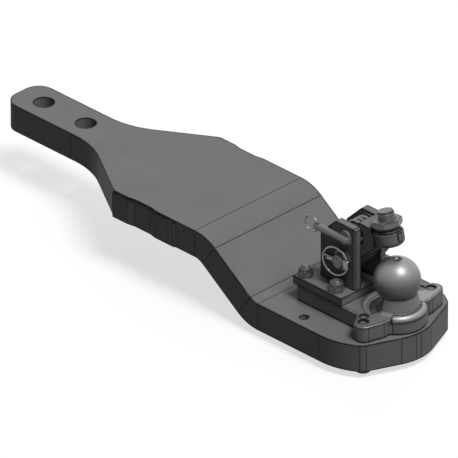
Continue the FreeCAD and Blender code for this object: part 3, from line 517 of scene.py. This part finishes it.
def bump(tree, shader, height, depth):
    """Relief of a given depth in metres."""
    node = tree.nodes.new("ShaderNodeBump")
    node.inputs["Strength"].default_value = 1
    node.inputs["Distance"].default_value = depth
    tree.links.new(height, node.inputs["Height"])
    tree.links.new(node.outputs["Normal"], shader.inputs["Normal"])


def new_finish(name, roughness, metallic, specular=0.5):
    """A material whose plain values sit on its own shader."""
    material = bpy.data.materials.new(name)
    material.use_nodes = True
    shader = material.node_tree.nodes["Principled BSDF"]
    shader.inputs["Roughness"].default_value = roughness
    shader.inputs["Metallic"].default_value = metallic
    shader.inputs["Specular IOR Level"].default_value = specular
    return material, material.node_tree, shader


def paint_finish():
    """Satin grey paint over flame-cut plate, dark along the edges."""
    material, tree, shader = new_finish("satin_grey_paint", roughness=0.55, metallic=0,
                                        specular=0.05)
    mottle = use_group(tree, MOTTLE, amount=0.35)
    wear = use_group(tree, EDGE_WEAR, amount=1, reach=0.0048)["Wear"]
    marks = use_group(tree, SHOP_MARKS, amount=0.8)["Marks"]
    cut = use_group(tree, CUT_LINES, amount=1)["Height"]
    paint = toned(tree, PAINT_TONE, mottle["Tone"])
    dark = calculate(tree, "MAXIMUM", wear, marks)
    tree.links.new(mix_colours(tree, dark, paint, linear(PAINT_EDGE_TONE)),
                   shader.inputs["Base Color"])
    bump(tree, shader, scaled(tree, mottle["Grain"], 0.25, cut), depth=0.00035)
    return material


def machined_finish():
    """Turned and milled bare steel, with an oil coat on the faces that look up, which is also a
    painted sheen on the tops and painted shade on the undersides.
    """
    material, tree, shader = new_finish("machined_steel", roughness=0.45, metallic=0.08,
                                        specular=0.1)
    mottle = use_group(tree, MOTTLE, amount=0.3)
    wear = use_group(tree, EDGE_WEAR, amount=1, reach=0.008)["Wear"]
    corners = use_group(tree, TURNED_CORNERS, amount=0.8)["Marks"]
    rings = use_group(tree, TURNED_LINES, amount=1)["Height"]
    dark = calculate(tree, "MAXIMUM", wear, corners)
    # Oil coat that grows with how far a face looks up: an oil film, and also a painted sheen on
    # top and painted shade underneath
    oil_and_painted_sheen = calculate(tree, "MULTIPLY", ramp(tree, facing_up(tree), low=0, high=0.75), 0.9)
    clean = rest_of(tree, calculate(tree, "MULTIPLY", dark, 0.9))
    tree.links.new(calculate(tree, "MULTIPLY", oil_and_painted_sheen, clean), shader.inputs["Coat Weight"])
    shader.inputs["Coat Roughness"].default_value = 0.4
    shader.inputs["Coat IOR"].default_value = 2.3
    steel = toned(tree, STEEL_TONE, mottle["Tone"])
    tree.links.new(mix_colours(tree, dark, steel, linear(STEEL_EDGE_TONE)),
                   shader.inputs["Base Color"])
    tree.links.new(scaled(tree, mottle["Grain"], factor=0.12, offset=0.39),
                   shader.inputs["Roughness"])
    bump(tree, shader, rings, depth=0.00006)
    return material


def screw_end_dirt(tree):
    """Dirt on the bevel of the set screw's upper end."""
    place = tree.nodes.new("ShaderNodeTexCoord")
    along = dot_product(tree, place.outputs["Object"])
    along.inputs[1].default_value = SCREW_AXIS
    end = SCREW_AXIS.dot(BALL_CENTRE) + SCREW_LOW + SCREW_LENGTH
    fade_in, fade_out = (ramp(tree, along.outputs["Value"], end - first, end - last)
                         for first, last in (END_DIRT_FOOT, END_DIRT_TOP))
    return calculate(tree, "SUBTRACT", fade_in, fade_out)


def fastener_finish(name, wear_amount, more_dirt=None):
    """Zinc-plated bolts, nuts and pins gone dull, with dirt along their edges."""
    material, tree, shader = new_finish(name, roughness=0.35, metallic=0.3, specular=0.3)
    mottle = use_group(tree, MOTTLE, amount=0.6)
    dirt = use_group(tree, EDGE_WEAR, wear_amount, reach=0.003)["Wear"]
    if more_dirt:
        dirt = calculate(tree, "MAXIMUM", dirt, more_dirt(tree))
    zinc = toned(tree, STEEL_TONE, mottle["Tone"])
    tree.links.new(mix_colours(tree, dirt, zinc, linear(STEEL_EDGE_TONE)),
                   shader.inputs["Base Color"])
    tree.links.new(scaled(tree, mottle["Grain"], factor=0.2, offset=0.28),
                   shader.inputs["Roughness"])
    bump(tree, shader, mottle["Grain"], depth=0.00003)
    return material


def bright_finish():
    """Bright plated wire and pins."""
    material, tree, shader = new_finish("bright_plating", roughness=0.2, metallic=0.85)
    mottle = use_group(tree, MOTTLE, amount=0.25)
    tree.links.new(toned(tree, PLATING_TONE, mottle["Tone"]), shader.inputs["Base Color"])
    tree.links.new(scaled(tree, mottle["Grain"], factor=0.12, offset=0.14),
                   shader.inputs["Roughness"])
    return material


def bronze_finish():
    """The bearing bush's bronze."""
    material, tree, shader = new_finish("bearing_bronze", roughness=0.35, metallic=1)
    mottle = use_group(tree, MOTTLE, amount=0.4)
    tree.links.new(toned(tree, BRONZE_TONE, mottle["Tone"]), shader.inputs["Base Color"])
    bump(tree, shader, mottle["Grain"], depth=0.00003)
    return material


FINISHES = {
    "grey_paint": paint_finish(),
    "forged_steel": machined_finish(),
    "fastener_steel": fastener_finish("dull_zinc", wear_amount=0.9),
    "bright_plate": bright_finish(),
    "bearing_bronze": bronze_finish(),
}
THREAD_FINISH = fastener_finish("dull_zinc_thread", wear_amount=0.2, more_dirt=screw_end_dirt)


def finish_nodes():
    """Give each CAD node the finish of its slot in the record."""
    for part in frame["record"]["subparts"]:
        node = frame["nodes"][part["node"]]
        node.data.materials.clear()
        node.data.materials.append(FINISHES[part["material_slot"]])


# New pieces

def pick_none():
    """Nothing selected, so that an operator acts on the new piece alone."""
    if bpy.context.mode != "OBJECT":
        bpy.ops.object.mode_set(mode="OBJECT")
    bpy.ops.object.select_all(action="DESELECT")


def settle(piece, place):
    """Move a piece to its place in its mesh, and leave its object at the origin."""
    pick_none()
    piece.matrix_world = place
    piece.select_set(True)
    bpy.context.view_layer.objects.active = piece
    bpy.ops.object.transform_apply(location=True, rotation=True, scale=True)


def edit(piece):
    """Edit mode on one piece, with everything in it selected."""
    pick_none()
    piece.select_set(True)
    bpy.context.view_layer.objects.active = piece
    bpy.ops.object.mode_set(mode="EDIT")
    bpy.ops.mesh.select_all(action="SELECT")


def pick(piece, test):
    """Select the corners that pass a test on their place."""
    mesh = bmesh.from_edit_mesh(piece.data)
    mesh.select_mode = {"VERT"}
    for corner in mesh.verts:
        corner.select_set(test(corner.co))
    mesh.select_flush_mode()
    bmesh.update_edit_mesh(piece.data)


def widen(scale):
    """Scale what is selected about the upright axis."""
    bpy.ops.transform.resize(value=(scale, scale, 1), center_override=(0, 0, 0))


def draw_up(step, scale):
    """Extrude what is selected along Z and scale its new end about the axis."""
    bpy.ops.mesh.extrude_region_move(TRANSFORM_OT_translate={"value": (0, 0, step)})
    widen(scale)


def finish_piece(piece, name, body, finish, place):
    """Name a modelled piece, smooth it, and put it in its place on its body."""
    bpy.ops.mesh.select_all(action="SELECT")
    bpy.ops.mesh.normals_make_consistent(inside=False)
    bpy.ops.object.mode_set(mode="OBJECT")
    settle(piece, place)
    bpy.ops.object.shade_smooth_by_angle(angle=SMOOTH_ANGLE)
    piece.name = name
    piece.data.name = name
    piece.data.materials.clear()
    piece.data.materials.append(finish)
    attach(piece, body)


def thread_height(place):
    """How far up the thread's flank a point on the screw is, from 0 to 1."""
    turn = place.z / THREAD_PITCH - math.atan2(place.y, place.x) / (2 * math.pi)
    flank = 1 - abs(2 * (turn % 1) - 1)
    run_out = min(place.z - SCREW_EDGE, SCREW_LENGTH - SCREW_EDGE - place.z) / THREAD_PITCH
    rise = (flank - THREAD_ROOT_FLAT) / THREAD_FLANK
    return min(1, max(0, rise)) * min(1, max(0, run_out))


def threaded_screw():
    """The set screw: a fine thread between two bevelled ends."""
    pick_none()
    end_radius = SCREW_RADIUS - SCREW_EDGE
    bpy.ops.mesh.primitive_circle_add(vertices=THREAD_SIDES, radius=end_radius, fill_type="NGON")
    screw = bpy.context.object
    edit(screw)
    draw_up(SCREW_EDGE, SCREW_ROOT / end_radius)
    rise = THREAD_PITCH / THREAD_RINGS
    for _ in range(round((SCREW_LENGTH - 2 * SCREW_EDGE) / rise)):
        draw_up(rise, 1)
    draw_up(SCREW_EDGE, end_radius / SCREW_ROOT)
    for level in range(1, THREAD_LEVELS + 1):
        pick(screw, lambda place: round(thread_height(place) * THREAD_LEVELS) == level
             and math.hypot(place.x, place.y) < SCREW_ROOT + ROOT_SLACK)
        widen(1 + (SCREW_RADIUS / SCREW_ROOT - 1) * level / THREAD_LEVELS)
    place = (Matrix.Translation(BALL_CENTRE + SCREW_LOW * SCREW_AXIS)
             @ Matrix.Rotation(-SCREW_LEAN, 4, "Y"))
    finish_piece(screw, "threaded_screw", "hold_down", THREAD_FINISH, place)
    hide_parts("adjusting_screw")


def coil_spring():
    """The lock pin's wound spring."""
    pick_none()
    bpy.ops.mesh.primitive_circle_add(vertices=ROUND_SIDES, radius=SPRING_WIRE,
                                      location=(SPRING_COIL, 0, SPRING_WIRE),
                                      rotation=(math.pi / 2, 0, 0))
    spring = bpy.context.object
    settle(spring, spring.matrix_world.copy())
    winding = spring.modifiers.new("winding", "SCREW")
    winding.axis = "Z"
    winding.angle = SPRING_TURNS * 2 * math.pi
    winding.screw_offset = SPRING_LENGTH - 2 * SPRING_WIRE
    winding.steps = SPRING_STEPS
    winding.render_steps = SPRING_STEPS
    winding.use_merge_vertices = False
    bpy.ops.object.modifier_apply(modifier=winding.name)
    edit(spring)
    bpy.ops.mesh.fill_holes(sides=0)
    place = Matrix.Translation(SPRING_FOOT) @ Matrix.Rotation(math.radians(-90), 4, "X")
    finish_piece(spring, "wound_spring", "drawbar", FINISHES["bright_plate"], place)
    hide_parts("lock_spring")
    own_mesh(spring)


def weld_bead(name, length, place):
    """A rippled bead run along a corner, sunk into both plates."""
    pick_none()
    bpy.ops.mesh.primitive_circle_add(vertices=ROUND_SIDES, radius=WELD_SIZE * WELD_TAPER,
                                      fill_type="NGON")
    bead = bpy.context.object
    edit(bead)
    draw_up(WELD_STEP, 1 / WELD_TAPER)
    for _ in range(round(length / (2 * WELD_STEP)) - 1):
        draw_up(WELD_STEP, WELD_SWELL)
        draw_up(WELD_STEP, 1 / WELD_SWELL)
    draw_up(WELD_STEP, WELD_TAPER)
    finish_piece(bead, name, "drawbar", FINISHES["grey_paint"], place)


def weld_cheeks():
    """Beads inside and behind both cheeks."""
    lay_along = Matrix.Rotation(math.radians(90), 4, "Y")
    lay_across = Matrix.Rotation(math.radians(-90), 4, "X")
    long_run = CHEEK_FRONT - CHEEK_REAR - 2 * WELD_INSET
    short_run = CHEEK_OUTSIDE - CHEEK_INSIDE - 2 * WELD_INSET
    for side, sign in (("near", -1), ("far", 1)):
        inside = Vector((CHEEK_REAR + WELD_INSET, sign * CHEEK_INSIDE, CHEEK_FOOT))
        weld_bead(f"weld_inside_{side}", long_run, Matrix.Translation(inside) @ lay_along)
        first = min(sign * CHEEK_INSIDE, sign * CHEEK_OUTSIDE) + WELD_INSET
        behind = Vector((CHEEK_REAR, first, CHEEK_FOOT))
        weld_bead(f"weld_behind_{side}", short_run, Matrix.Translation(behind) @ lay_across)


place_camera()
lamp("key", KEY_DIRECTION, KEY_LEVEL, KEY_SPREAD)
lamp("overhead", OVERHEAD_DIRECTION, OVERHEAD_LEVEL, OVERHEAD_SPREAD)
lamp("back", BACK_DIRECTION, BACK_LEVEL, BACK_SPREAD, in_gloss=False)
light_world()
lay_floor()
bpy.context.scene.view_settings.view_transform = "Standard"
finish_nodes()
threaded_screw()
coil_spring()
weld_cheeks()
